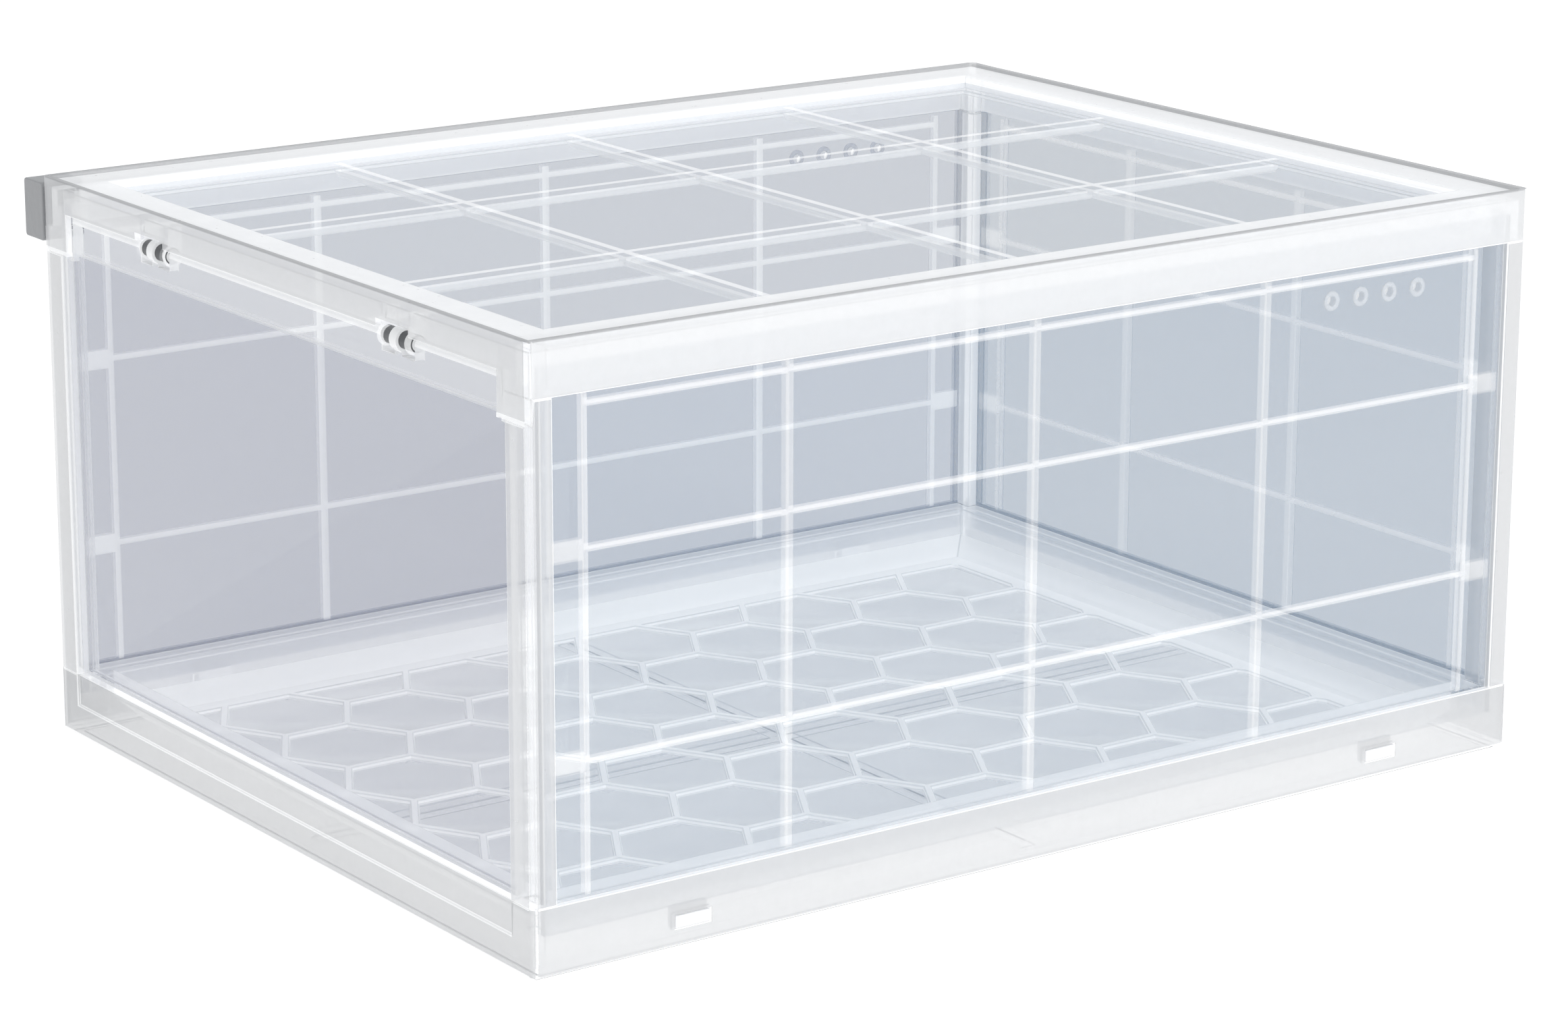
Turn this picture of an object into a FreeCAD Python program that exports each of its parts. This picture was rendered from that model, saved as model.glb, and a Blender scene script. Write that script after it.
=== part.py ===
import FreeCAD, Part
import math
import os

from FreeCAD import Vector

# Clear knock-down shoe box with a drop-front door that is hinged at the top.
# Frame: millimetres, +Z up, the door faces -Y, the long side runs along Y,
# and the origin is the middle of the footprint on the surface that the box stands on.

# ---- overall size -------------------------------------------------------------------
length = 360.0          # front face to back face, along Y
width = 275.0           # left side to right side, along X
height = 178.0          # table to the top of the stacking lip

# ---- moulded walls and fits ---------------------------------------------------------
wall = 2.0              # outer wall of the tray and of the lid
corner_radius = 2.0     # outer upright corners
clearance = 0.2         # gap all round a panel or a tenon in its seat
panel_thickness = 2.0
panel_inset = wall + clearance      # outer face of the box to the outer face of a panel
over = 1.0              # how far a cutting solid runs past what it cuts
sink = 0.5              # how far a joined solid reaches into what it grows from
panel_grip = 3.0        # how deep a panel edge goes into a post

# ---- base tray ----------------------------------------------------------------------
tray_height = 21.0
ledge_thickness = 2.0   # flat top of the tray's rim
rim_width = 12.0        # outer face to inner face of the rim
rim_inner_wall = 1.6
foot_height = 1.6       # stepped foot that nests inside the stacking lip of a box below
foot_gap = 0.3          # foot to stacking lip, all round
foot_wall = 2.5
foot_web = 1.8          # joins the foot to the outer wall
keel_width = 5.0        # crossed ribs under the floor
floor_underside = 2.4   # the floor is held off the table by this much
floor_thickness = 2.0
bank_height = 6.0       # sloping border between the floor and the rim
bank_width = 6.0
floor_margin = 6.0      # plain border between the bank and the honeycomb
hex_pitch = 38.5        # across the flats, centre to centre
hex_rib_width = 2.4
hex_rib_height = 1.4
hex_first_row = 57.0    # front face to the middle of the first row of cells
sill_step_height = 11.0
sill_step_depth = 0.8
door_stop_height = 1.6  # low lip on the sill that the closed door rests against
door_stop_thickness = 1.4
snap_slot_width = 12.0
snap_slot_height = 4.0
snap_slot_bottom = 6.0
snap_slot_offset = 127.5            # along the side, either way from the middle
barb_setback = 0.3      # outer face of the tray to the end of a panel's barb

# ---- corner posts -------------------------------------------------------------------
post_x = 11.0
post_y = 8.0
tenon_length = 9.0
door_flange_width = 3.0
door_flange_thickness = 2.4

# ---- lid ----------------------------------------------------------------------------
lid_band = 16.0         # height of the lid's side band
lid_plate_thickness = 2.2
stacking_lip_height = 1.2
stacking_lip_width = 2.2
lid_rim = 15.0          # outer face to the edge of the window
lid_rim_wall = 1.6
pane_recess = 2.4       # rim top to the top of the clear pane
pane_thickness = 2.0
pane_seat = 3.0
pane_seat_thickness = 1.4
lid_rib_height = 2.2
lid_rib_width = 2.4
lid_rib_inset = 7.0     # the lid's ribs divide what is left inside this border
keeper_wall = 1.4       # inner wall that holds the panels' top edges
keeper_depth = 8.0      # how deep the panels and the posts' tenons go into the lid
keeper_setback = 1.0    # the keeper walls and the sockets start this far inside the lid
socket_wall = 1.5
front_band = 10.2       # height of the lid's front band between the ears
ear_width = 15.0
ear_height = 23.0
ear_thickness = 1.9

# ---- panels -------------------------------------------------------------------------
rib_width = 2.4         # upright ribs
level_rib_width = 1.8
right_rib_shift = -8.0  # how far the right-hand panel's uprights stand off an even division
back_rib_shift = -4.5   # the same for the back panel's
rib_height = 0.7
edge_rib_offset = 11.2  # post to the upright rib beside it
top_line_drop = 3.4     # lid's lower edge to the level line along the top of a panel
panel_end_gap = 0.4     # ribs stop this short of the tray, the lid and the posts
lug_height = 6.0        # thick ends of the level ribs, beside the posts
vent_count = 4
vent_pitch = 11.4
vent_diameter = 3.0
vent_ring = 6.0
vent_below_lid = 9.5
vent_from_back = 60.0   # back face to the middle of the row of vents
side_bays = 4
back_bays = 3
level_bays = 3

# ---- front door and its hinge -------------------------------------------------------
door_thickness = 1.8
door_setback = 2.0      # front face of the box to the face of the door
door_gap = 0.6          # door to post, door to sill
door_rail_height = 12.1
pin_diameter = 5.0
pin_clearance = 0.1
knuckle_setback = 0.1   # front face of the box to the front of a knuckle
pin_below_band = 2.2    # lower edge of the front band to the hinge axis
bead_diameter = 3.2     # rounded top edge of the door, on the hinge axis
hinge_offset = 69.5     # either way from the middle
knuckle_wall = 0.9
knuckle_width = 3.6
knuckle_mouth = 3.6
lug_wall = 0.85
lug_thickness = 2.0
lug_gap = 0.4           # side of the opening to the lug beside it
knuckle_root = 1.0      # lug's lower edge to the door's edge below it
pin_chamfer = 0.4
hinge_window = 8.6      # half width of the opening round each hinge
window_rise = 2.6       # how far the opening cuts up into the front band

# ---- side link clip -----------------------------------------------------------------
clip_reach = 14.5       # side face of the lid to the outer face of the clip
clip_neck = 2.4
clip_height = 18.2
clip_length = 14.0
clip_below_top = 3.0
clip_setback = 1.0
clip_wall = 2.2
clip_edge_radius = 1.2

# ---- places worked out from the sizes -----------------------------------------------
half_x = width / 2
half_y = length / 2
floor_bottom = floor_underside
floor_top = floor_bottom + floor_thickness
foot_inset = stacking_lip_width + foot_gap
lid_bottom = height - lid_band
rim_top = height - stacking_lip_height
plate_bottom = rim_top - lid_plate_thickness
pane_top = rim_top - pane_recess
pane_bottom = pane_top - pane_thickness
band_bottom = height - front_band
ear_bottom = height - ear_height
knuckle_diameter = pin_diameter + 2 * (pin_clearance + knuckle_wall)
lug_diameter = pin_diameter + pin_clearance + 2 * lug_wall
axis_y = -half_y + knuckle_setback + knuckle_diameter / 2
axis_z = band_bottom - pin_below_band
door_face = -half_y + door_setback
door_back = door_face + door_thickness
door_bottom = tray_height + door_gap
rail_bottom = ear_bottom - (door_rail_height - (axis_z - ear_bottom))
post_inner_x = half_x - post_x
post_inner_y = half_y - post_y
panel_bottom = tray_height - tenon_length
panel_top = lid_bottom + keeper_depth
panel_half_y = half_y - post_y + panel_grip - clearance
panel_half_x = half_x - post_x + panel_grip - clearance


def block(x0, x1, y0, y1, z0, z1):
    return Part.makeBox(x1 - x0, y1 - y0, z1 - z0, Vector(x0, y0, z0))


def centred(rx, ry, z0, z1):
    return block(-rx, rx, -ry, ry, z0, z1)


def outline(rx, ry, z):
    corners = [(-rx, -ry), (rx, -ry), (rx, ry), (-rx, ry), (-rx, -ry)]
    return Part.makePolygon([Vector(x, y, z) for x, y in corners])


def round_upright_edges(shape, radius, corners):
    """Round the vertical edges that stand at one of the (x, y) corners."""
    chosen = []
    for edge in shape.Edges:
        start = edge.Vertexes[0].Point
        end = edge.Vertexes[-1].Point
        upright = abs(start.x - end.x) < 1e-6 and abs(start.y - end.y) < 1e-6
        at_corner = any(abs(start.x - x) < 1e-6 and abs(start.y - y) < 1e-6 for x, y in corners)
        if upright and at_corner:
            chosen.append(edge)
    return shape.makeFillet(radius, chosen)


def all_corners():
    return [(sx * half_x, sy * half_y) for sx in (-1, 1) for sy in (-1, 1)]


def cylinder_x(x0, x1, diameter, y=axis_y, z=axis_z):
    return Part.makeCylinder(diameter / 2, x1 - x0, Vector(x0, y, z), Vector(1, 0, 0))


def mirrored_x(shape):
    return shape.mirror(Vector(0, 0, 0), Vector(1, 0, 0))


def mirrored_y(shape):
    return shape.mirror(Vector(0, 0, 0), Vector(0, 1, 0))


def four_ways(shape):
    right = [shape, mirrored_y(shape)]
    return right + [mirrored_x(item) for item in right]


def tenon(gap, z0, z1):
    """The square peg of the right back post; gap makes it larger all round, for its socket."""
    x0 = post_inner_x + clearance
    x1 = half_x - panel_inset - panel_thickness - 2 * clearance
    y0 = post_inner_y + clearance
    y1 = half_y - panel_inset - panel_thickness - 2 * clearance
    return block(x0 - gap, x1 + gap, y0 - gap, y1 + gap, z0, z1)


def side_panel_slot(gap, z0, z1):
    x1 = half_x - panel_inset
    return block(x1 - panel_thickness - gap, x1 + gap, -panel_half_y - gap, panel_half_y + gap, z0, z1)


def back_panel_slot(gap, z0, z1):
    y1 = half_y - panel_inset
    return block(-panel_half_x - gap, panel_half_x + gap, y1 - panel_thickness - gap, y1 + gap, z0, z1)


def honeycomb(z0, z1):
    """The open cells of the floor's honeycomb, cut off along a straight border."""
    side = hex_pitch / math.sqrt(3)
    row_pitch = 1.5 * side
    border = rim_width + bank_width + floor_margin
    reach = (hex_pitch - hex_rib_width) / math.sqrt(3)
    corners = [Vector(reach * math.sin(math.radians(a)), reach * math.cos(math.radians(a)), z0)
               for a in range(0, 361, 60)]
    cell = Part.Face(Part.makePolygon(corners)).extrude(Vector(0, 0, z1 - z0))
    columns = int(half_x / hex_pitch) + 1
    rows = int(length / row_pitch) + 2
    frame = centred(half_x - border, half_y - border, z0, z1)
    cells = []
    for row in range(-1, rows):
        shift = 0.5 if row % 2 == 0 else 0.0
        for column in range(-columns - 1, columns + 1):
            place = Vector((column + shift) * hex_pitch, -half_y + hex_first_row + row * row_pitch, 0)
            copy = cell.copy()
            copy.translate(place)
            part = copy.common(frame)
            if part.Volume > 1.0:
                cells.append(part)
    return Part.makeCompound(cells)


def snap_windows(gap, x0, x1):
    low = snap_slot_bottom - gap
    high = snap_slot_bottom + snap_slot_height + gap
    half = snap_slot_width / 2 + gap
    return [block(x0, x1, y - half, y + half, low, high)
            for y in (-snap_slot_offset, snap_slot_offset)]


def base_tray():
    body = centred(half_x, half_y, foot_height, tray_height)
    body = round_upright_edges(body, corner_radius, all_corners())
    foot_x = half_x - foot_inset
    foot_y = half_y - foot_inset
    body = body.fuse(centred(foot_x, foot_y, 0, foot_height + sink))
    inner_x = half_x - rim_width
    inner_y = half_y - rim_width
    plate_top = floor_top + hex_rib_height
    bank_top = plate_top + bank_height
    bank = Part.makeLoft([outline(inner_x - bank_width, inner_y - bank_width, plate_top),
                          outline(inner_x, inner_y, bank_top)], True, True)
    body = body.cut(bank.fuse(centred(inner_x, inner_y, bank_top, tray_height + over)))
    hollow = centred(half_x - wall, half_y - wall, foot_height + foot_web, tray_height - ledge_thickness)
    hollow = hollow.fuse(centred(foot_x - foot_wall, foot_y - foot_wall, -over, tray_height / 2))
    core = centred(inner_x + rim_inner_wall, inner_y + rim_inner_wall, -2 * over, tray_height)
    body = body.cut(hollow.cut(core))
    keels = centred(inner_x, keel_width / 2, -2 * over, tray_height / 2)
    keels = keels.fuse(centred(keel_width / 2, inner_y, -2 * over, tray_height / 2))
    underside = centred(inner_x + rim_inner_wall + over, inner_y + rim_inner_wall + over, -over, floor_bottom)
    body = body.cut(underside.cut(keels))
    body = body.cut(honeycomb(floor_top, plate_top + over))
    body = body.cut(block(-post_inner_x, post_inner_x, -half_y - over, -half_y + sill_step_depth,
                          sill_step_height, tray_height + over))
    stop_y = door_back + clearance
    stop_x = post_inner_x - door_flange_width - panel_end_gap
    body = body.fuse(block(-stop_x, stop_x, stop_y, stop_y + door_stop_thickness,
                           tray_height - sink, tray_height + door_stop_height))
    low = tray_height - ledge_thickness - over
    high = tray_height + over
    openings = [side_panel_slot(clearance, low, high), back_panel_slot(clearance, low, high)]
    openings.append(mirrored_x(openings[0]))
    openings += four_ways(tenon(clearance, low, high))
    for window in snap_windows(clearance, half_x - wall - over, half_x + over):
        openings += [window, mirrored_x(window)]
    for opening in openings:
        body = body.cut(opening)
    return body.removeSplitter()


def side_panel(rib_shift):
    """A side panel as it stands on the right-hand side."""
    x1 = half_x - panel_inset
    panel = side_panel_slot(0, panel_bottom, panel_top)
    face = x1 - sink
    crest = x1 + rib_height
    low = tray_height + panel_end_gap
    high = lid_bottom - panel_end_gap
    bay = 2 * post_inner_y / side_bays
    ribs = [y * bay + rib_shift for y in range(1 - side_bays // 2, side_bays // 2)]
    edge = post_inner_y - edge_rib_offset
    for y in ribs + [-edge, edge]:
        panel = panel.fuse(block(face, crest, y - rib_width / 2, y + rib_width / 2, low, high))
    span = post_inner_y - panel_end_gap
    for level in range(1, level_bays):
        z = level * height / level_bays
        panel = panel.fuse(block(face, crest, -span, span, z - level_rib_width / 2, z + level_rib_width / 2))
        for sign in (-1, 1):
            ends = sorted((sign * span, sign * edge))
            panel = panel.fuse(block(face, crest, ends[0], ends[1], z - lug_height / 2, z + lug_height / 2))
    top = lid_bottom - top_line_drop
    panel = panel.fuse(block(face, crest, -span, span, top - level_rib_width / 2, top + level_rib_width / 2))
    vent_z = lid_bottom - vent_below_lid
    for index in range(vent_count):
        y = half_y - vent_from_back + (index - (vent_count - 1) / 2) * vent_pitch
        start = Vector(face, y, vent_z)
        panel = panel.fuse(Part.makeCylinder(vent_ring / 2, crest - face, start, Vector(1, 0, 0)))
    for index in range(vent_count):
        y = half_y - vent_from_back + (index - (vent_count - 1) / 2) * vent_pitch
        start = Vector(x1 - panel_thickness - over, y, vent_z)
        depth = panel_thickness + rib_height + 2 * over
        panel = panel.cut(Part.makeCylinder(vent_diameter / 2, depth, start, Vector(1, 0, 0)))
    foot = snap_slot_bottom - clearance
    half = snap_slot_width / 2
    for y in (-snap_slot_offset, snap_slot_offset):
        panel = panel.fuse(block(x1 - panel_thickness, x1, y - half, y + half, foot, panel_bottom + sink))
    for barb in snap_windows(-clearance, x1 - sink, half_x - barb_setback):
        panel = panel.fuse(barb)
    return panel.removeSplitter()


def back_panel():
    y1 = half_y - panel_inset
    panel = back_panel_slot(0, panel_bottom, panel_top)
    face = y1 - sink
    crest = y1 + rib_height
    low = tray_height + panel_end_gap
    high = lid_bottom - panel_end_gap
    bay = 2 * post_inner_x / back_bays
    ribs = [(index - back_bays / 2) * bay + back_rib_shift for index in range(1, back_bays)]
    edge = post_inner_x - edge_rib_offset
    for x in ribs + [-edge, edge]:
        panel = panel.fuse(block(x - rib_width / 2, x + rib_width / 2, face, crest, low, high))
    span = post_inner_x - panel_end_gap
    for level in range(1, level_bays):
        z = level * height / level_bays
        panel = panel.fuse(block(-span, span, face, crest, z - level_rib_width / 2, z + level_rib_width / 2))
        for sign in (-1, 1):
            ends = sorted((sign * span, sign * edge))
            panel = panel.fuse(block(ends[0], ends[1], face, crest, z - lug_height / 2, z + lug_height / 2))
    top = lid_bottom - top_line_drop
    panel = panel.fuse(block(-span, span, face, crest, top - level_rib_width / 2, top + level_rib_width / 2))
    return panel.removeSplitter()


def plain_post():
    """A post at the right-hand back corner, with a groove for the side panel and a tenon at each end."""
    body = block(post_inner_x, half_x, post_inner_y, half_y, tray_height, lid_bottom)
    body = round_upright_edges(body, corner_radius, [(half_x, half_y)])
    body = body.cut(side_panel_slot(clearance, tray_height - over, lid_bottom + over))
    body = body.fuse(tenon(0, tray_height - tenon_length, tray_height + sink))
    return body.fuse(tenon(0, lid_bottom - sink, lid_bottom + keeper_depth))


def back_post():
    body = plain_post()
    return body.cut(back_panel_slot(clearance, tray_height - over, lid_bottom + over)).removeSplitter()


def front_post():
    """The right-hand front post, with a flange behind the door and room for the lid's ear."""
    body = mirrored_y(plain_post())
    stop_y = door_back + clearance
    body = body.fuse(block(post_inner_x - door_flange_width, post_inner_x + sink, stop_y,
                           stop_y + door_flange_thickness, tray_height, lid_bottom))
    ear = block(post_inner_x - over, half_x + over, -half_y - over, -half_y + ear_thickness + clearance,
                ear_bottom - clearance, lid_bottom + over)
    return body.cut(ear).removeSplitter()


def hinge_lug(x):
    """A lug that hangs from the lid and holds one end of a hinge pin; x is its middle."""
    x0 = x - lug_thickness / 2
    x1 = x + lug_thickness / 2
    hanger = block(x0, x1, axis_y - lug_diameter / 4, axis_y + lug_diameter / 2,
                   axis_z, plate_bottom + lid_plate_thickness / 2)
    return cylinder_x(x0, x1, lug_diameter).fuse(hanger)


def lid_frame():
    body = centred(half_x, half_y, lid_bottom, height)
    body = round_upright_edges(body, corner_radius, all_corners())
    body = body.cut(centred(half_x - stacking_lip_width, half_y - stacking_lip_width, rim_top, height + over))
    window_x = half_x - lid_rim
    window_y = half_y - lid_rim
    seat_bottom = pane_bottom - pane_seat_thickness
    room = centred(half_x - wall, half_y - wall, lid_bottom - over, plate_bottom)
    kerb = centred(window_x + lid_rim_wall, window_y + lid_rim_wall, seat_bottom, plate_bottom)
    body = body.cut(room.cut(kerb))
    body = body.cut(centred(window_x, window_y, pane_bottom, height))
    body = body.cut(centred(window_x - pane_seat, window_y - pane_seat, seat_bottom - over, height))
    inner_x = half_x - panel_inset - panel_thickness - clearance
    inner_y = half_y - panel_inset - panel_thickness - clearance
    keeper_low = lid_bottom + keeper_setback
    keeper_high = plate_bottom + sink
    straight_y = post_inner_y - keeper_setback
    straight_x = post_inner_x - keeper_setback
    side_keeper = block(inner_x - keeper_wall, inner_x, -straight_y, straight_y, keeper_low, keeper_high)
    back_keeper = block(-straight_x, straight_x, inner_y - keeper_wall, inner_y, keeper_low, keeper_high)
    body = body.fuse(side_keeper).fuse(mirrored_x(side_keeper)).fuse(back_keeper)
    boss = block(post_inner_x - socket_wall, inner_x - clearance, post_inner_y - socket_wall,
                 inner_y - clearance, keeper_low, keeper_high)
    socket = tenon(clearance, lid_bottom, lid_bottom + keeper_depth + clearance)
    for corner in four_ways(boss.cut(socket)):
        body = body.fuse(corner)
    ear_x = half_x - ear_width
    for sign in (-1, 1):
        ends = sorted((sign * ear_x, sign * half_x))
        ear = block(ends[0], ends[1], -half_y, -half_y + ear_thickness, ear_bottom, lid_bottom + sink)
        body = body.fuse(round_upright_edges(ear, min(corner_radius, ear_thickness - sink / 2),
                                             [(sign * half_x, -half_y)]))
    front_cut = -half_y + wall + sink
    body = body.cut(block(-ear_x, ear_x, -half_y - over, front_cut, lid_bottom - over, band_bottom))
    for sign in (-1, 1):
        x = sign * hinge_offset
        opening = block(x - hinge_window, x + hinge_window, -half_y - over, front_cut,
                        band_bottom - over, band_bottom + window_rise)
        body = body.cut(opening)
        for side in (-1, 1):
            lug = hinge_lug(x + side * (hinge_window - lug_gap - lug_thickness / 2))
            body = body.fuse(lug)
        body = body.cut(cylinder_x(x - hinge_window, x + hinge_window, pin_diameter + pin_clearance))
    return body.cut(clip_slot()).removeSplitter()


def lid_pane():
    rx = half_x - lid_rim - clearance
    ry = half_y - lid_rim - clearance
    pane = centred(rx, ry, pane_bottom, pane_top)
    rx = rx - pane_seat - clearance
    ry = ry - pane_seat - clearance
    z0 = pane_bottom - lid_rib_height
    z1 = pane_bottom + sink
    for index in range(1, side_bays):
        y = (index - side_bays / 2) * (length - 2 * lid_rib_inset) / side_bays
        pane = pane.fuse(block(-rx, rx, y - lid_rib_width / 2, y + lid_rib_width / 2, z0, z1))
    for index in range(1, back_bays):
        x = (index - back_bays / 2) * (width - 2 * lid_rib_inset) / back_bays
        pane = pane.fuse(block(x - lid_rib_width / 2, x + lid_rib_width / 2, -ry, ry, z0, z1))
    return pane.removeSplitter()


def front_door():
    """The clear door: a thin sheet, a thicker rail with a rounded top edge, and two snap-on knuckles."""
    half = post_inner_x - door_gap
    rail_half = half_x - ear_width - door_gap
    door = block(-half, half, door_face, door_back, door_bottom, rail_bottom)
    bead = bead_diameter / 2
    door = door.fuse(block(-rail_half, rail_half, door_face, door_back, rail_bottom - sink, axis_z))
    door = door.fuse(block(-rail_half, rail_half, axis_y - bead, axis_y + bead, ear_bottom, axis_z))
    door = door.fuse(cylinder_x(-rail_half, rail_half, bead_diameter))
    for sign in (-1, 1):
        x = sign * hinge_offset
        reach = lug_diameter / 2 + knuckle_root
        door = door.cut(block(x - hinge_window, x + hinge_window, axis_y - reach, axis_y + reach,
                              axis_z - reach, axis_z + reach))
        x0 = x - knuckle_width / 2
        x1 = x + knuckle_width / 2
        knuckle = cylinder_x(x0, x1, knuckle_diameter)
        knuckle = knuckle.fuse(block(x0, x1, axis_y - bead, axis_y + bead, axis_z - reach - sink, axis_z))
        knuckle = knuckle.cut(cylinder_x(x0 - over, x1 + over, pin_diameter + 2 * pin_clearance))
        knuckle = knuckle.cut(block(x0 - over, x1 + over, axis_y, axis_y + knuckle_diameter,
                                    axis_z - knuckle_mouth / 2, axis_z + knuckle_mouth / 2))
        door = door.fuse(knuckle)
    return door.removeSplitter()


def hinge_pin(x):
    half = hinge_window - lug_gap
    pin = cylinder_x(x - half, x + half, pin_diameter)
    ends = [edge for edge in pin.Edges if abs(edge.Length - math.pi * pin_diameter) < 1e-3]
    return pin.makeChamfer(pin_chamfer, ends)


def clip_slot():
    """The slot in the lid's left side that the clip's tongue goes through."""
    y0 = -half_y + clip_setback + clip_length / 4
    y1 = -half_y + clip_setback + 3 * clip_length / 4
    z1 = height - clip_below_top - clip_wall
    return block(-half_x - over, -half_x + wall + over, y0 - clearance, y1 + clearance,
                 z1 - 2 * clip_wall - clearance, z1 + clearance)


def side_link_clip():
    """A hooked cap that links two boxes that stand side by side."""
    y0 = -half_y + clip_setback
    y1 = y0 + clip_length
    z1 = height - clip_below_top
    z0 = z1 - clip_height
    x0 = -half_x - clip_reach
    x1 = -half_x - clip_neck
    shell = block(x0, x1, y0, y1, z0, z1)
    long_edges = [edge for edge in shell.Edges if edge.BoundBox.YLength > clip_length / 2]
    shell = shell.makeFillet(clip_edge_radius, long_edges)
    shell = shell.cut(block(x0 + clip_wall, x1 - clip_wall, y0 + clip_wall, y1 - clip_wall,
                            z0 - over, z1 - clip_wall))
    tongue_y0 = y0 + clip_length / 4
    tongue_y1 = y0 + 3 * clip_length / 4
    tongue_z1 = z1 - clip_wall
    tongue = block(x1 - clip_wall, -half_x + wall, tongue_y0, tongue_y1,
                   tongue_z1 - 2 * clip_wall, tongue_z1)
    return shell.fuse(tongue).removeSplitter()


def write(name, shape):
    shape.exportStep(os.path.join("parts", name + ".step"))


os.makedirs("parts", exist_ok=True)
write("base_tray", base_tray())
write("right_side_panel", side_panel(right_rib_shift))
write("left_side_panel", mirrored_x(side_panel(0)))
write("back_panel", back_panel())
right_front = front_post()
right_back = back_post()
write("front_right_post", right_front)
write("front_left_post", mirrored_x(right_front))
write("back_right_post", right_back)
write("back_left_post", mirrored_x(right_back))
write("lid_frame", lid_frame())
write("lid_pane", lid_pane())
write("front_door", front_door())
write("right_hinge_pin", hinge_pin(hinge_offset))
write("left_hinge_pin", hinge_pin(-hinge_offset))
write("side_link_clip", side_link_clip())
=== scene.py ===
import math

import bmesh
import bpy
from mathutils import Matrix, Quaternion, Vector


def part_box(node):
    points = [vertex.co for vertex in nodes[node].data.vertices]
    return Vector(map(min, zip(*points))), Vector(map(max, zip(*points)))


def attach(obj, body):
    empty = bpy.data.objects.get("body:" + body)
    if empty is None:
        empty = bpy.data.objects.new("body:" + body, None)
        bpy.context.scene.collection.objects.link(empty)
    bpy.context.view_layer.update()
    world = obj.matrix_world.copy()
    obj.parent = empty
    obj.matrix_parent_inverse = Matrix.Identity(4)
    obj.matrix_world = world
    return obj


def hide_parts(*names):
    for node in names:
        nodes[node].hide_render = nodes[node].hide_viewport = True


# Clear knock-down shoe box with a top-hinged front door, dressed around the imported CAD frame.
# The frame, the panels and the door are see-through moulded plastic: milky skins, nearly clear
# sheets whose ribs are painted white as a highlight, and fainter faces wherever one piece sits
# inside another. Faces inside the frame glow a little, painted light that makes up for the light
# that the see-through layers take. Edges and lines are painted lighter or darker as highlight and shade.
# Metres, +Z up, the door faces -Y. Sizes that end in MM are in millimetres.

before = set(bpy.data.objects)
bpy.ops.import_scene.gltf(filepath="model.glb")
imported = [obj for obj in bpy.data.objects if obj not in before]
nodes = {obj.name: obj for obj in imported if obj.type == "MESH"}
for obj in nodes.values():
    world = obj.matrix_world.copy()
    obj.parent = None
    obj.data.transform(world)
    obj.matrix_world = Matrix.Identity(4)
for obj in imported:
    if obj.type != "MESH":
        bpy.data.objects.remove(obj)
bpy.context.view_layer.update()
scene = bpy.context.scene

# ---- camera -------------------------------------------------------------------------
CAMERA_AZIMUTH = math.radians(54.41)
CAMERA_ELEVATION = math.radians(15.17)
CAMERA_ROLL = math.radians(0.166)
CAMERA_DISTANCE = 1.4782
CAMERA_LENS = 108.0
AIM_RIGHT = 0.00088     # the camera's axis passes this far right of the box's foot
AIM_UP = 0.07112        # and this far above it, both across the view

# ---- studio -------------------------------------------------------------------------
SKY_LIGHT = 0.75
FLOOR_GLOW = 0.72       # the floor is a white sweep that is lit from below as well
FLOOR_SIZE = 14.0
FLOOR_DROP = 0.0004     # keeps the floor from touching the feet

# ---- the box, as the CAD has it, in millimetres -------------------------------------
MM = 0.001
HALF_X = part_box("base_tray")[1].x / MM
HALF_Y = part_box("base_tray")[1].y / MM
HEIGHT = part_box("lid_frame")[1].z / MM
TRAY_TOP = 21.0
LID_BOTTOM = HEIGHT - 16.0
RIM_TOP = HEIGHT - 1.2
POST_X = 11.0
POST_Y = 8.0
SHEET = 2.0             # thickness of the panels and of the lid's pane
RIB_HALF = 1.3          # half the width of an upright rib
LEVEL_HALF = 0.9
EDGE_HALF = 0.9
RIGHT_RIB_SHIFT = -8.0  # how far the right-hand uprights stand off an even division
BACK_RIB_SHIFT = -4.5
RIB_RISE = 0.7          # a panel's rib above its sheet
RIB_GAP = 0.4           # ribs stop this short of the frame
EDGE_RIB = 11.2         # post to the upright rib beside it
LUG_HALF = 3.0          # half the height of the thick ends of the level ribs
TOP_LINE = 3.4          # lid's lower edge to the level line along a panel's top
VENTS = 4
VENT_PITCH = 11.4
VENT_HOLE = 3.0
VENT_RING = 6.0
VENT_DROP = 9.5         # lid's lower edge to the row of vents
VENT_FROM_BACK = 60.0
FLOOR_TOP = 4.4         # bottom of the honeycomb's cells
PLATE_TOP = 5.8         # top of the honeycomb's ribs
BANK_TOP = 11.8
FOOT_WIDTH = 12.0       # the side panels' snap feet
FOOT_OFFSET = 127.5
FOOT_TOP = TRAY_TOP - 9.0      # lower edge of a side panel's sheet, where its feet start
SLOT_LOW = 6.0
SLOT_HIGH = 10.0
SLOT_GAP = 0.2          # between a foot's barb and its slot
BARB_REACH = 1.9        # a barb above the panel's face
TRAY_RIM = 12.0         # outer face of the tray to the inner face of its rim
TRAY_LEDGE = 2.5        # width of the plain top edge round the rim
BAND_BOTTOM = HEIGHT - 10.2    # lower edge of the lid's front band
EAR_BOTTOM = HEIGHT - 23.0
EAR_INNER = HALF_X - 15.0
EAR_LINE = EAR_INNER + 1.4     # outer side of the painted highlight line along an ear
HINGE_OFFSET = 69.5
EAR_FOOT = EAR_BOTTOM + 1.4    # upper side of the painted highlight line under an ear
BEAD_LINE = BAND_BOTTOM - 2.6  # lower side of the painted highlight line along the door's rounded top
RAIL_LINE_TOP = EAR_BOTTOM + 1.2
RAIL_BOTTOM = HEIGHT - 24.6
KNUCKLE_HALF = 3.0      # half the length of a door knuckle
FACING = 0.9            # a normal's part along an axis, for a face that looks that way
SKIM = 0.1              # how near a level a face's middle still counts as on it

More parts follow.
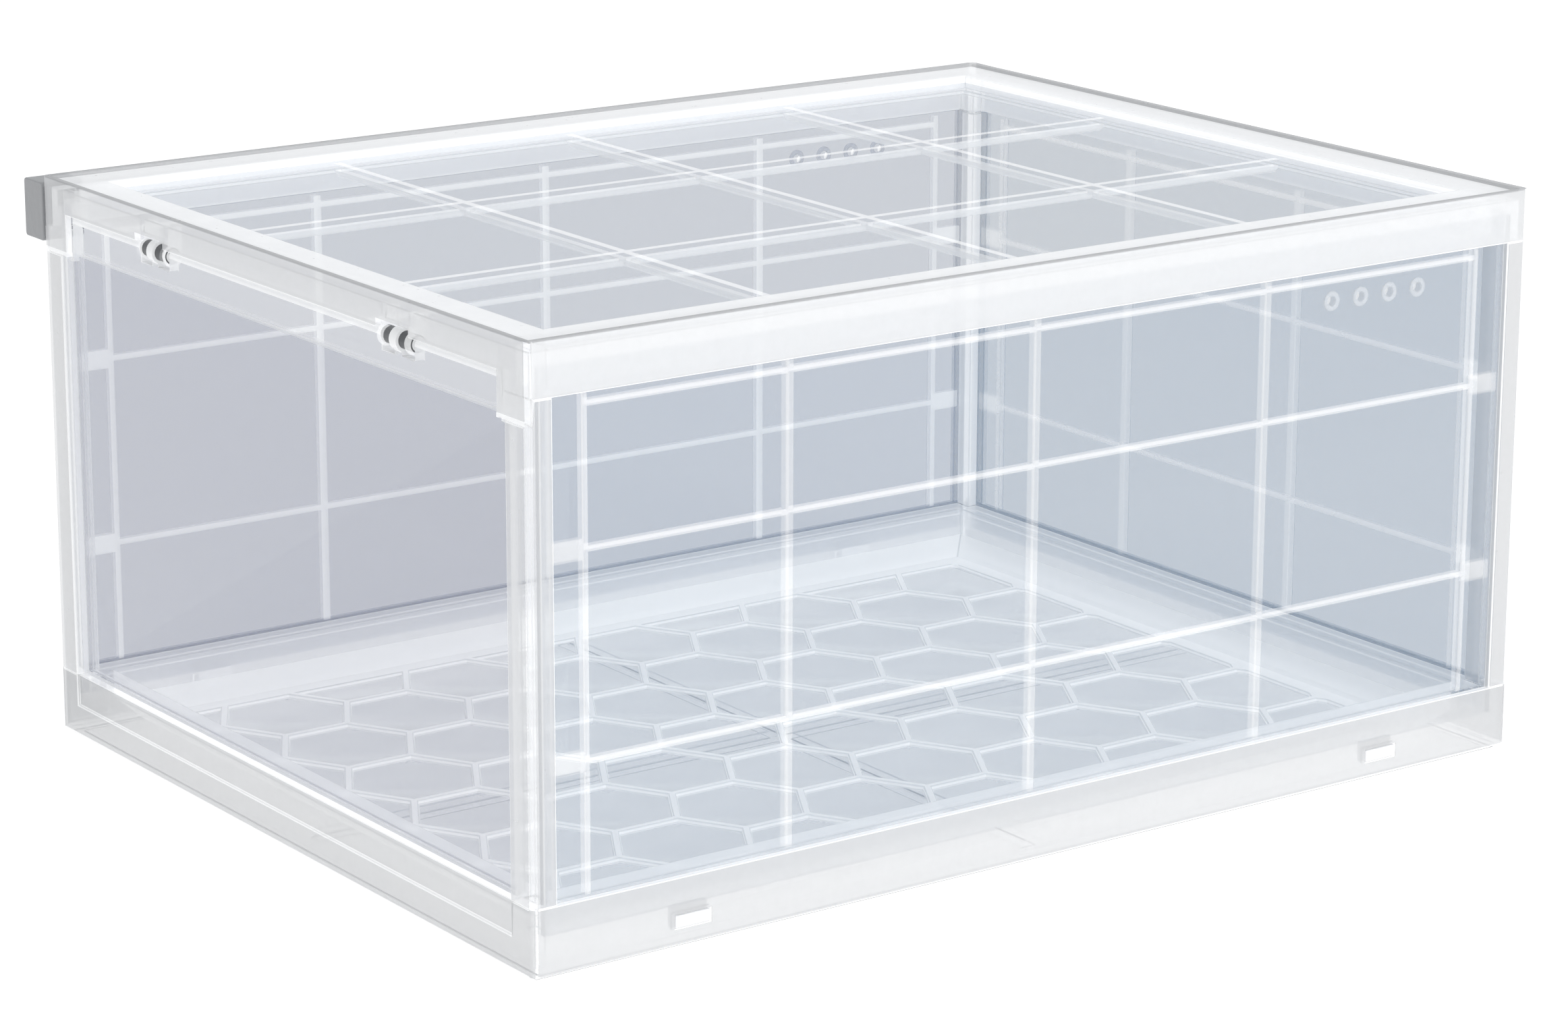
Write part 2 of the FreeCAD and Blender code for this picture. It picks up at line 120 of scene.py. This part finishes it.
# places in a ribbed sheet's list of materials
PANE_FACE, RIB_FACE, CUT_FACE, END_FACE, FINE_FACE, FOOT_FACE = range(6)


# ---- small helpers ------------------------------------------------------------------
def add_object(name, mesh):
    made = bpy.data.objects.new(name, mesh)
    scene.collection.objects.link(made)
    return made


def quaternion_along(back, roll=0.0):
    return Quaternion(back, roll) @ (-back).to_track_quat("-Z", "Y")


# ---- studio -------------------------------------------------------------------------
def add_camera():
    azimuth, elevation = CAMERA_AZIMUTH, CAMERA_ELEVATION
    back = Vector((math.sin(azimuth) * math.cos(elevation),
                   -math.cos(azimuth) * math.cos(elevation),
                   math.sin(elevation)))
    right = Vector((math.cos(azimuth), math.sin(azimuth), 0.0))
    up = back.cross(right)
    camera = add_object("camera", bpy.data.cameras.new("camera"))
    camera.data.lens = CAMERA_LENS
    camera.location = back * CAMERA_DISTANCE + right * AIM_RIGHT + up * AIM_UP
    camera.rotation_mode = "QUATERNION"
    camera.rotation_quaternion = quaternion_along(back, CAMERA_ROLL)
    scene.camera = camera


def add_world():
    """A white sky: full white where it is seen, softer where it lights the box."""
    world = bpy.data.worlds.new("studio")
    world.use_nodes = True
    tree = world.node_tree
    tree.nodes.clear()
    path = tree.nodes.new("ShaderNodeLightPath")
    seen = tree.nodes.new("ShaderNodeBackground")
    lit = tree.nodes.new("ShaderNodeBackground")
    mix = tree.nodes.new("ShaderNodeMixShader")
    out = tree.nodes.new("ShaderNodeOutputWorld")
    seen.inputs["Color"].default_value = (1, 1, 1, 1)
    lit.inputs["Color"].default_value = (0.97, 0.985, 1.0, 1)
    lit.inputs["Strength"].default_value = SKY_LIGHT
    tree.links.new(path.outputs["Is Camera Ray"], mix.inputs[0])
    tree.links.new(lit.outputs[0], mix.inputs[1])
    tree.links.new(seen.outputs[0], mix.inputs[2])
    tree.links.new(mix.outputs[0], out.inputs["Surface"])
    scene.world = world


def add_softbox(name, place, size, power):
    light = bpy.data.lights.new(name, "AREA")
    light.shape = "RECTANGLE"
    light.size, light.size_y = size
    light.energy = power
    lamp = add_object(name, light)
    lamp.location = place
    lamp.rotation_mode = "QUATERNION"
    lamp.rotation_quaternion = quaternion_along(Vector(place).normalized())


def add_floor():
    half = FLOOR_SIZE / 2
    mesh = bpy.data.meshes.new("studio_floor")
    corners = [(-half, -half), (half, -half), (half, half), (-half, half)]
    mesh.from_pydata([(x, y, -FLOOR_DROP) for x, y in corners], [], [(0, 1, 2, 3)])
    mesh.materials.append(plastic("studio_white", (0.40, 0.40, 0.40), 1.0, 0.9, grain=2.0,
                                  glow=FLOOR_GLOW))
    add_object("studio_floor", mesh)


# ---- materials ----------------------------------------------------------------------
def plastic(name, colour, alpha, roughness, grain=350.0, cloud=0.03, bump=0.0, glow=0.0):
    """Moulded plastic: faintly cloudy in colour, with fine flow marks in its gloss."""
    made = bpy.data.materials.new(name)
    made.use_nodes = True
    tree = made.node_tree
    shader = tree.nodes["Principled BSDF"]
    place = tree.nodes.new("ShaderNodeTexCoord")
    noise = tree.nodes.new("ShaderNodeTexNoise")
    noise.inputs["Scale"].default_value = grain
    noise.inputs["Detail"].default_value = 3.0
    tree.links.new(place.outputs["Object"], noise.inputs["Vector"])
    tint = tree.nodes.new("ShaderNodeMix")
    tint.data_type = "RGBA"
    tint.inputs["A"].default_value = (*[c * (1 - cloud) for c in colour], 1)
    tint.inputs["B"].default_value = (*[min(1.0, c * (1 + cloud)) for c in colour], 1)
    tree.links.new(noise.outputs["Fac"], tint.inputs["Factor"])
    tree.links.new(tint.outputs["Result"], shader.inputs["Base Color"])
    gloss = tree.nodes.new("ShaderNodeMapRange")
    gloss.inputs["To Min"].default_value = roughness * 0.8
    gloss.inputs["To Max"].default_value = roughness * 1.2
    tree.links.new(noise.outputs["Fac"], gloss.inputs["Value"])
    tree.links.new(gloss.outputs["Result"], shader.inputs["Roughness"])
    shader.inputs["Alpha"].default_value = alpha
    shader.inputs["IOR"].default_value = 1.49
    # A glow is emission: on the box it is painted light, on the floor it keeps the backdrop evenly white.
    if glow:
        shader.inputs["Emission Color"].default_value = (1, 1, 1, 1)
        shader.inputs["Emission Strength"].default_value = glow
    if bump:
        relief = tree.nodes.new("ShaderNodeBump")
        relief.inputs["Strength"].default_value = bump
        relief.inputs["Distance"].default_value = 0.0004
        tree.links.new(noise.outputs["Fac"], relief.inputs["Height"])
        tree.links.new(relief.outputs["Normal"], shader.inputs["Normal"])
    return made


SKIN = plastic("frosted_skin", (0.64, 0.645, 0.655), 0.62, 0.35, bump=0.15)
BODY = plastic("frosted_body", (0.56, 0.565, 0.575), 0.72, 0.35, bump=0.15)
POST = plastic("frosted_post", (0.54, 0.545, 0.555), 0.42, 0.30, bump=0.15)
# Painted light: a lighter frost with a faint glow, for the lid rim's top faces and the panels' feet.
LIT_FROST = plastic("frosted_painted_lit", (0.84, 0.845, 0.855), 0.78, 0.30, bump=0.15, glow=0.06)
# Darker grey: the lid's top lip; on the tray's lower edge and the posts' outer corners it is painted shade.
LIP = plastic("frosted_lip", (0.42, 0.425, 0.435), 0.72, 0.30, bump=0.15)
# Painted light: faces that look into the box are whitened and glow, standing in for light through the
# frosted walls.
INNER_GLOW = plastic("frosted_inner_painted_light", (0.85, 0.855, 0.86), 0.48, 0.35, bump=0.15, glow=0.38)
# Painted light: faces hidden inside joints glow, so that the layers seen through them stay bright.
INSIDE_GLOW = plastic("frosted_inside_painted_light", (0.85, 0.86, 0.88), 0.06, 0.4, glow=0.5)
# Lit and shaded copies for the posts' inward faces: a darker grey with a faint glow is painted shade on the
# back-right post, a lighter glowing one is painted light on the front posts.
SHADED_POST_SIDE = plastic("frosted_post_side_painted_shade", (0.62, 0.625, 0.635), 0.42, 0.30, bump=0.15, glow=0.08)
LIT_POST_INNER = plastic("frosted_post_inner_painted_light", (0.76, 0.765, 0.775), 0.45, 0.32, bump=0.15, glow=0.24)
# Painted shade on the posts' groove walls, with a glow that is painted light.
SHADE = plastic("frosted_shade", (0.60, 0.61, 0.63), 0.22, 0.4, glow=0.36)
# Painted highlight: softened edges and thin lines are white and glow faintly, as if they caught the light.
EDGE_HIGHLIGHT = plastic("painted_edge_highlight", (0.90, 0.905, 0.91), 0.78, 0.2, glow=0.10)
# Painted light: the tray floor's white glows, standing in for light that comes up through the plastic.
GLOWING_WHITE = plastic("floor_white_painted_light", (0.86, 0.865, 0.86), 0.82, 0.4, bump=0.2, glow=0.34)
# The honeycomb's clear cell floors; their faint glow is painted light.
CELL = plastic("floor_cell", (0.50, 0.53, 0.57), 0.42, 0.15, glow=0.10)
# One clear plastic in copies per side: the door, side, back and lid panes differ in tint and alpha only as
# painted light and shade.
DOOR_PANE = plastic("door_pane", (0.02, 0.05, 0.17), 0.175, 0.06)
RAIL = plastic("door_rail", (0.36, 0.38, 0.43), 0.13, 0.12)
# A pale line on the door; its faint glow is painted light.
RAIL_LINE = plastic("door_rail_line", (0.80, 0.81, 0.83), 0.32, 0.15, glow=0.08)
RIGHT_PANE = plastic("right_pane", (0.0, 0.10, 0.22), 0.155, 0.06)
BACK_PANE = plastic("back_pane", (0.0, 0.09, 0.21), 0.20, 0.06)
LEFT_PANE = plastic("left_pane", (0.02, 0.06, 0.18), 0.19, 0.06)
LID_PANE = plastic("lid_pane", (0.02, 0.10, 0.20), 0.15, 0.06)
# Panel cut edges; their faint glow is painted light.
PANE_EDGE = plastic("clear_edge", (0.62, 0.65, 0.70), 0.30, 0.15, glow=0.10)
# Painted shade: dark lines at the ends of the side panels, where they sit in the posts' grooves.
END_EDGE_SHADE = plastic("end_edge_painted_shade", (0.26, 0.28, 0.31), 0.55, 0.15)
# Painted highlight: the clear ribs are white for the light they bend; the left panel's lit copy is
# brighter, and the lit and lid ribs glow as painted light.
RIB_HIGHLIGHT = plastic("clear_rib_painted_highlight", (0.78, 0.80, 0.82), 0.20, 0.15)
FINE_RIB_HIGHLIGHT = plastic("fine_rib_painted_highlight", (0.88, 0.89, 0.90), 0.29, 0.15, glow=0.03)
LIT_RIB = plastic("lit_rib", (0.90, 0.91, 0.92), 0.40, 0.15, glow=0.14)
LID_RIB_HIGHLIGHT = plastic("lid_rib_painted_highlight", (0.88, 0.885, 0.89), 0.48, 0.25, glow=0.18)
DARK = plastic("hinge_dark", (0.10, 0.105, 0.11), 1.0, 0.45, bump=0.4)
CLIP = plastic("clip_grey", (0.31, 0.315, 0.325), 1.0, 0.38, bump=0.5)


# ---- refined copies of the CAD pieces -----------------------------------------------
BEVEL_SHORTEST = 3.0 * MM


def refined(node, body, materials, choose, bevel, soften=None, cuts=(), corner=0.0):
    """A copy of a CAD piece with clean faces, softened edges and a material for each kind of face.

    choose(centre, normal) gives a face's material, from its middle in millimetres.
    The last material goes on the softened edges, unless soften(centre) gives another.
    cuts are (axis, millimetres) pairs where faces are split first, so that a strip can differ.
    corner is the wider bevel of the piece's upright edge at a corner of the box.
    """
    work = bmesh.new()
    work.from_mesh(nodes[node].data)
    bmesh.ops.remove_doubles(work, verts=work.verts, dist=1e-6)
    bmesh.ops.dissolve_limit(work, angle_limit=math.radians(0.5), verts=work.verts, edges=work.edges)
    for axis, value in cuts:
        at = Vector([value * MM if k == axis else 0.0 for k in range(3)])
        across = Vector([1.0 if k == axis else 0.0 for k in range(3)])
        bmesh.ops.bisect_plane(work, geom=work.verts[:] + work.edges[:] + work.faces[:], dist=1e-6,
                               plane_co=at, plane_no=across)
    for face in work.faces:
        face.material_index = materials.index(choose(face.calc_center_median() / MM, face.normal))
    if corner:
        soften_edges(work, [e for e in work.edges if at_corner(e)], corner, 3, materials, soften)
    sharp = [edge for edge in work.edges
             if len(edge.link_faces) == 2 and edge.calc_length() > BEVEL_SHORTEST
             and edge.calc_face_angle() > math.radians(50)]
    soften_edges(work, sharp, bevel, 2, materials, soften)
    mesh = bpy.data.meshes.new(node + "_look")
    work.to_mesh(mesh)
    work.free()
    for material in materials:
        mesh.materials.append(material)
    mesh.shade_smooth()
    mesh.set_sharp_from_angle(angle=math.radians(32))
    piece = add_object(node + "_look", mesh)
    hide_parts(node)
    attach(piece, body)
    return piece


def soften_edges(work, edges, offset, segments, materials, soften):
    made = bmesh.ops.bevel(work, geom=edges, offset=offset * MM, segments=segments, profile=0.5,
                           affect="EDGES", clamp_overlap=False, material=len(materials) - 1)
    for face in made["faces"] if soften else ():
        face.material_index = materials.index(soften(face.calc_center_median() / MM))


def at_corner(edge):
    return all(near(abs(vert.co.x) / MM, HALF_X) and near(abs(vert.co.y) / MM, HALF_Y)
               for vert in edge.verts) and edge.calc_length() > BEVEL_SHORTEST


def near(value, target, by=0.05):
    return abs(value - target) < by


def tray_face(centre, normal):
    x, y, z = abs(centre.x), abs(centre.y), centre.z
    on_top = normal.z > FACING and z > TRAY_TOP - SKIM
    if normal.z > FACING and near(z, FLOOR_TOP):
        return CELL
    if FLOOR_TOP < z < BANK_TOP - SKIM and x < HALF_X - TRAY_RIM + SKIM and y < HALF_Y - TRAY_RIM + SKIM:
        return GLOWING_WHITE
    if near(x, HALF_X - TRAY_RIM) or near(y, HALF_Y - TRAY_RIM):
        return INNER_GLOW
    if on_top and x < HALF_X - TRAY_LEDGE and y < HALF_Y - TRAY_LEDGE:
        return INNER_GLOW
    if near(x, HALF_X) or y > HALF_Y - 0.85 or on_top:
        return BODY
    return INSIDE_GLOW


def tray_edge(centre):
    """The snap slots' edges keep the body's finish, so that the slots stay faint."""
    at_slot = near(abs(centre.y), FOOT_OFFSET, FOOT_WIDTH) and near(abs(centre.x), HALF_X, TRAY_LEDGE)
    if at_slot and 1.0 < centre.z < SLOT_HIGH + 1.0:
        return BODY
    # The lower edge takes the darker lip grey, painted shade; the rest take the painted edge highlight.
    return LIP if centre.z < 1.0 else EDGE_HIGHLIGHT


def post_face(side):
    """A chooser for a post whose inward faces have the material side."""
    def choose(centre, normal):
        x, y, z = abs(centre.x), abs(centre.y), centre.z
        if z < TRAY_TOP - SKIM or z > LID_BOTTOM + SKIM:
            return INSIDE_GLOW
        if near(x, HALF_X) or near(y, HALF_Y):
            return POST
        if near(x, HALF_X - POST_X) or near(y, HALF_Y - POST_Y):
            return side
        return SHADE

    return choose


def outer_post_edge(centre):
    outer = near(abs(centre.x), HALF_X, 0.95) and near(abs(centre.y), HALF_Y, 0.95)
    # Outer corner bevels take the darker lip grey, painted shade; the rest take the painted highlight.
    return LIP if outer else EDGE_HIGHLIGHT


def lid_face(centre, normal):
    x, y, z = abs(centre.x), abs(centre.y), centre.z
    beside_ear = EAR_INNER < x < EAR_LINE and z < BAND_BOTTOM
    under_ear = z < EAR_FOOT + 0.2
    if z > RIM_TOP + SKIM:
        return LIP
    # The rim's top faces take the lighter frost, painted light.
    if near(z, RIM_TOP):
        return LIT_FROST
    # Strips beside and under the ears take the painted highlight.
    if normal.y < -FACING and near(centre.y, -HALF_Y) and (beside_ear or under_ear):
        return EDGE_HIGHLIGHT
    if near(x, HALF_X) or near(y, HALF_Y):
        return SKIN
    if normal.x * centre.x < -30.0 or normal.y * centre.y < -30.0:   # it looks inwards
        return INNER_GLOW
    return INSIDE_GLOW


def lid_edge(centre):
    # The top lip's bevels stay darker grey; the others take the painted highlight.
    return LIP if centre.z > RIM_TOP + 0.2 else EDGE_HIGHLIGHT


def door_face(centre, normal):
    # Side, top and bead faces, and the knuckles, take the painted highlight; the rail is a darker band and
    # its line paler.
    if abs(normal.x) > FACING or abs(normal.z) > FACING or centre.z > BEAD_LINE:
        return EDGE_HIGHLIGHT
    if near(abs(centre.x), HINGE_OFFSET, KNUCKLE_HALF) and centre.z > RAIL_LINE_TOP:
        return EDGE_HIGHLIGHT
    if centre.z > RAIL_LINE_TOP:
        return RAIL
    return RAIL_LINE if centre.z > RAIL_BOTTOM else DOOR_PANE


# ---- ribbed clear sheets ------------------------------------------------------------
def bump_profile(distance, half):
    """A rounded rib: 1 on its middle line, 0 from its edge outwards."""
    share = min(1.0, abs(distance) / half)
    return math.sqrt(max(0.0, 1.0 - share ** 2.6))


class Rib:
    """A straight rib on a sheet, along u or v, round across and tapered at its ends."""

    def __init__(self, along, middle, start, end, half=RIB_HALF, material=RIB_FACE):
        self.along, self.middle, self.start, self.end, self.half = along, middle, start, end, half
        self.material = material

    def height(self, u, v):
        along, across = (u, v) if self.along == "u" else (v, u)
        if not self.start <= along <= self.end:
            return 0.0
        taper = min(1.0, min(along - self.start, self.end - along) / 0.8)
        return bump_profile(across - self.middle, self.half) * math.sqrt(max(0.0, taper))

    def lines(self):
        """Grid lines that the rib needs across itself, and along itself at its ends."""
        steps = (-1.0, -0.93, -0.75, -0.4, 0.0, 0.4, 0.75, 0.93, 1.0)
        across = [self.middle + self.half * s for s in steps]
        along = [self.start, self.start + 0.3, self.start + 0.8,
                 self.end - 0.8, self.end - 0.3, self.end]
        return (along, across) if self.along == "u" else (across, along)


def spread(values, low, high, apart=0.02):
    """Sorted values inside low..high, without near repeats."""
    kept = [low]
    for value in sorted(values):
        if low + apart < value < high - apart and value - kept[-1] > apart:
            kept.append(value)
    return kept + [high]


def ribbed_sheet(name, u_range, v_range, ribs, place, rise, materials):
    """A closed sheet with rounded ribs on its outer face.

    place(u, v, w) gives the point w millimetres above the sheet's inner face.
    materials follow PANE_FACE, RIB_FACE and so on.
    """
    us, vs = [], []
    for rib in ribs:
        more_u, more_v = rib.lines()
        us += more_u
        vs += more_v
    us = spread(us, *u_range)
    vs = spread(vs, *v_range)
    work = bmesh.new()
    lift = {}
    kinds = {}
    outer = []
    inner = []
    for u in us:
        tallest = [max((rib.height(u, v), -rib.material) for rib in ribs) for v in vs]
        heights = [height for height, _ in tallest]
        outer.append([work.verts.new(place(u, v, SHEET + rise * h)) for v, h in zip(vs, heights)])
        inner.append([work.verts.new(place(u, v, 0.0)) for v in vs])
        lift[u] = heights
        kinds[u] = [-kind for _, kind in tallest]

    def face(corners, material):
        made = work.faces.new(corners)
        made.material_index = material
        made.smooth = True

    for i in range(len(us) - 1):
        for j in range(len(vs) - 1):
            four = [(lift[u][k], kinds[u][k]) for u in us[i:i + 2] for k in (j, j + 1)]
            highest, kind = max(four)
            kind = kind if highest > 0.3 else PANE_FACE
            face([outer[i][j], outer[i + 1][j], outer[i + 1][j + 1], outer[i][j + 1]], kind)
            face([inner[i][j + 1], inner[i + 1][j + 1], inner[i + 1][j], inner[i][j]], kind)
    for row in (0, len(us) - 1):
        for j in range(len(vs) - 1):
            face([outer[row][j], outer[row][j + 1], inner[row][j + 1], inner[row][j]], END_FACE)
    for column in (0, len(vs) - 1):
        for i in range(len(us) - 1):
            face([outer[i][column], outer[i + 1][column], inner[i + 1][column], inner[i][column]], CUT_FACE)
    bmesh.ops.recalc_face_normals(work, faces=work.faces)
    mesh = bpy.data.meshes.new(name)
    work.to_mesh(mesh)
    work.free()
    for material in materials:
        mesh.materials.append(material)
    mesh.set_sharp_from_angle(angle=math.radians(50))
    return add_object(name, mesh)


def level_lines():
    return [HEIGHT / 3, 2 * HEIGHT / 3]


def panel_ribs(half_span, bays, shift=0.0):
    """The pattern on a side or back panel: upright ribs, level ribs with thick ends, and a top line."""
    low = TRAY_TOP + RIB_GAP
    high = LID_BOTTOM - RIB_GAP
    reach = half_span - RIB_GAP
    edge = half_span - EDGE_RIB
    bay = 2 * half_span / bays
    uprights = [bay * (index - bays / 2) + shift for index in range(1, bays)]
    ribs = [Rib("v", u, low, high) for u in uprights]
    ribs += [Rib("v", u, low, high, EDGE_HALF, FINE_FACE) for u in (-edge, edge)]
    for z in level_lines():
        ribs.append(Rib("u", z, -reach, reach, LEVEL_HALF, FINE_FACE))
        ribs.append(Rib("u", z, -reach, -edge, LUG_HALF))
        ribs.append(Rib("u", z, edge, reach, LUG_HALF))
    ribs.append(Rib("u", LID_BOTTOM - TOP_LINE, -edge, edge, LEVEL_HALF, FINE_FACE))
    return ribs


def side_panel(side, node):
    low, high = [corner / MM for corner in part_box(node)]
    face = (low.x if side > 0 else -high.x)

    def place(u, v, w):
        return Vector((side * (face + w), u, v)) * MM

    ribs = panel_ribs(HALF_Y - POST_Y, 4, RIGHT_RIB_SHIFT if side > 0 else 0.0)
    # The left panel takes the lit rib copy, painted light; the right takes the plainer painted highlights.
    pane, upright, fine = (RIGHT_PANE, RIB_HIGHLIGHT, FINE_RIB_HIGHLIGHT) if side > 0 else (LEFT_PANE, LIT_RIB, LIT_RIB)
    sheet = ribbed_sheet(node + "_look", (low.y, high.y), (FOOT_TOP, high.z), ribs, place, RIB_RISE,
                         [pane, upright, PANE_EDGE, END_EDGE_SHADE, fine, LIT_FROST])
    cut_vents(sheet, place)
    add_feet(sheet, place)
    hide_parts(node)
    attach(sheet, "box")


def vent_places():
    middle = (VENTS - 1) / 2
    return [HALF_Y - VENT_FROM_BACK + (index - middle) * VENT_PITCH for index in range(VENTS)]


ROUND_STEPS = 28        # facets round a vent


def lathe(work, place, u, v, outline, material):
    """Turns an outline of (radius, w) points about the sheet's normal at u, v."""
    rings = []
    for index in range(ROUND_STEPS):
        angle = 2 * math.pi * index / ROUND_STEPS
        rings.append([work.verts.new(place(u + r * math.cos(angle), v + r * math.sin(angle), w))
                      for r, w in outline])
    count = len(outline)
    for index in range(ROUND_STEPS):
        one, two = rings[index], rings[(index + 1) % ROUND_STEPS]
        for k in range(count):
            made = work.faces.new([one[k], two[k], two[(k + 1) % count], one[(k + 1) % count]])
            made.material_index = material
            made.smooth = True


def cut_vents(sheet, place):
    """Bores the vents through the sheet and puts a raised ring round each."""
    v = LID_BOTTOM - VENT_DROP
    cutter_mesh = bpy.data.meshes.new("vent_cutter")
    work = bmesh.new()
    turns = [2 * math.pi * k / ROUND_STEPS for k in range(ROUND_STEPS)]
    for u in vent_places():
        one, two = [[work.verts.new(place(u + VENT_HOLE / 2 * math.cos(turn),
                                          v + VENT_HOLE / 2 * math.sin(turn), w)) for turn in turns]
                    for w in (-1.0, SHEET + 2.0)]
        work.faces.new(one)
        work.faces.new(two)
        for k in range(ROUND_STEPS):
            following = (k + 1) % ROUND_STEPS
            work.faces.new([one[k], one[following], two[following], two[k]])
    bmesh.ops.recalc_face_normals(work, faces=work.faces)
    work.to_mesh(cutter_mesh)
    work.free()
    cutter = add_object("vent_cutter", cutter_mesh)
    bore = sheet.modifiers.new("bore", "BOOLEAN")
    bore.operation = "DIFFERENCE"
    bore.solver = "EXACT"
    bore.object = cutter
    apply_modifiers(sheet)
    bpy.data.objects.remove(cutter)
    work = bmesh.new()
    work.from_mesh(sheet.data)
    inner, outer = VENT_HOLE / 2, VENT_RING / 2
    ring = [(inner, SHEET + 0.01), (inner, SHEET + 0.55), (inner + 0.25, SHEET + RIB_RISE),
            (outer - 0.35, SHEET + RIB_RISE), (outer, SHEET + 0.4), (outer, SHEET + 0.01)]
    for u in vent_places():
        lathe(work, place, u, v, ring, RIB_FACE)
    bmesh.ops.recalc_face_normals(work, faces=work.faces)
    work.to_mesh(sheet.data)
    work.free()


def apply_modifiers(piece):
    depsgraph = bpy.context.evaluated_depsgraph_get()
    made = bpy.data.meshes.new_from_object(piece.evaluated_get(depsgraph))
    piece.modifiers.clear()
    piece.data = made


def add_feet(sheet, place):
    """Two snap feet under a side panel, each with a barb that fills a slot in the tray."""
    work = bmesh.new()
    work.from_mesh(sheet.data)
    half = FOOT_WIDTH / 2
    foot = ((-half, half), (SLOT_LOW - SLOT_GAP, FOOT_TOP - 0.02), (0.0, SHEET))
    barb = ((-half + SLOT_GAP, half - SLOT_GAP), (SLOT_LOW + SLOT_GAP, SLOT_HIGH - SLOT_GAP),
            (SHEET + 0.02, SHEET + BARB_REACH))
    for middle in (-FOOT_OFFSET, FOOT_OFFSET):
        for size in (foot, barb):
            rounded_block(work, place, middle, size)
    work.to_mesh(sheet.data)
    work.free()


def rounded_block(work, place, middle, size, bevel=0.25):
    (u0, u1), (v0, v1), (w0, w1) = size
    corners = [work.verts.new(place(middle + u, v, w))
               for u in (u0, u1) for v in (v0, v1) for w in (w0, w1)]
    sides = [(0, 1, 3, 2), (4, 6, 7, 5), (0, 4, 5, 1), (2, 3, 7, 6), (0, 2, 6, 4), (1, 5, 7, 3)]
    made = []
    for side in sides:
        face = work.faces.new([corners[k] for k in side])
        face.material_index = FOOT_FACE
        made.append(face)
    bmesh.ops.recalc_face_normals(work, faces=made)
    edges = list({edge for face in made for edge in face.edges})
    bmesh.ops.bevel(work, geom=edges, offset=bevel * MM, segments=2, profile=0.5, affect="EDGES",
                    clamp_overlap=True, material=FOOT_FACE)


def back_panel():
    low, high = [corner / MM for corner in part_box("back_panel")]

    def place(u, v, w):
        return Vector((u, low.y + w, v)) * MM

    sheet = ribbed_sheet("back_panel_look", (low.x, high.x), (low.z, high.z),
                         panel_ribs(HALF_X - POST_X, 3, BACK_RIB_SHIFT), place, RIB_RISE,
                         [BACK_PANE, RIB_HIGHLIGHT, PANE_EDGE, PANE_EDGE, FINE_RIB_HIGHLIGHT])
    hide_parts("back_panel")
    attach(sheet, "box")


LID_RIB_RISE = 2.2
LID_RIB_INSET = 7.0
PANE_SEAT = 3.4         # the lid pane's ribs stop this short of its edge


def lid_pane():
    low, high = [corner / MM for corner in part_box("lid_pane")]

    def place(u, v, w):
        return Vector((u, v, high.z - w)) * MM

    reach_x, reach_y = high.x - PANE_SEAT, high.y - PANE_SEAT
    bay_y = (2 * HALF_Y - 2 * LID_RIB_INSET) / 4
    bay_x = (2 * HALF_X - 2 * LID_RIB_INSET) / 3
    ribs = [Rib("u", bay_y * k, -reach_x, reach_x) for k in (-1, 0, 1)]
    ribs += [Rib("v", bay_x * k, -reach_y, reach_y) for k in (-0.5, 0.5)]
    sheet = ribbed_sheet("lid_pane_look", (low.x, high.x), (low.y, high.y), ribs, place,
                         LID_RIB_RISE, [LID_PANE, LID_RIB_HIGHLIGHT, PANE_EDGE, PANE_EDGE])
    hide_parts("lid_pane")
    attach(sheet, "box")


def pin_face(centre, normal):
    # The pins' end faces take the painted highlight; their sides are dark.
    return EDGE_HIGHLIGHT if abs(normal.x) > FACING else DARK


def dress_cad(node, material, bevel):
    """Keeps a CAD piece, with its edges softened by modifiers and a material of its own."""
    piece = nodes[node]
    piece.data.materials.clear()
    piece.data.materials.append(material)
    weld = piece.modifiers.new("weld", "WELD")
    weld.merge_threshold = 1e-6
    flat = piece.modifiers.new("flat", "DECIMATE")
    flat.decimate_type = "DISSOLVE"
    flat.angle_limit = math.radians(0.5)
    edge = piece.modifiers.new("edge", "BEVEL")
    edge.width = bevel * MM
    edge.segments = 2
    edge.limit_method = "ANGLE"
    edge.angle_limit = math.radians(35)
    edge.harden_normals = True


# ---- the object ---------------------------------------------------------------------
refined("base_tray", "box", [BODY, INSIDE_GLOW, GLOWING_WHITE, CELL, INNER_GLOW, EDGE_HIGHLIGHT, LIP], tray_face,
        0.35, tray_edge)
# Each post's inward faces get a lit or shaded copy, painted light and shade; the front-right post's outer
# corner gets the painted highlight instead of the darker lip.
for post, side in (("front_left_post", LIT_POST_INNER), ("front_right_post", LIT_POST_INNER),
                   ("back_left_post", INNER_GLOW), ("back_right_post", SHADED_POST_SIDE)):
    refined(post, "box", [POST, INSIDE_GLOW, SHADE, side, LIP, EDGE_HIGHLIGHT], post_face(side),
            0.35, None if post == "front_right_post" else outer_post_edge, corner=0.9)
refined("lid_frame", "box", [SKIN, LIT_FROST, INSIDE_GLOW, LIP, INNER_GLOW, EDGE_HIGHLIGHT], lid_face,
        0.35, lid_edge, [(0, EAR_LINE), (0, -EAR_LINE), (2, EAR_FOOT)])
refined("front_door", "door", [DOOR_PANE, RAIL, RAIL_LINE, EDGE_HIGHLIGHT], door_face,
        0.2, None, [(2, BEAD_LINE), (2, RAIL_LINE_TOP)])
side_panel(1, "right_side_panel")
side_panel(-1, "left_side_panel")
back_panel()
lid_pane()
for pin in ("left_hinge_pin", "right_hinge_pin"):
    refined(pin, "box", [DARK, EDGE_HIGHLIGHT], pin_face, 0.2)
dress_cad("side_link_clip", CLIP, 0.4)

add_camera()
add_world()
add_floor()
add_softbox("top_light", (0.2, 0.3, 1.6), (1.6, 1.6), 5.0)
add_softbox("right_light", (1.6, 0.2, 0.8), (1.2, 1.2), 14.0)
scene.view_settings.view_transform = "Standard"
scene.cycles.transparent_max_bounces = 64
scene.cycles.max_bounces = 16
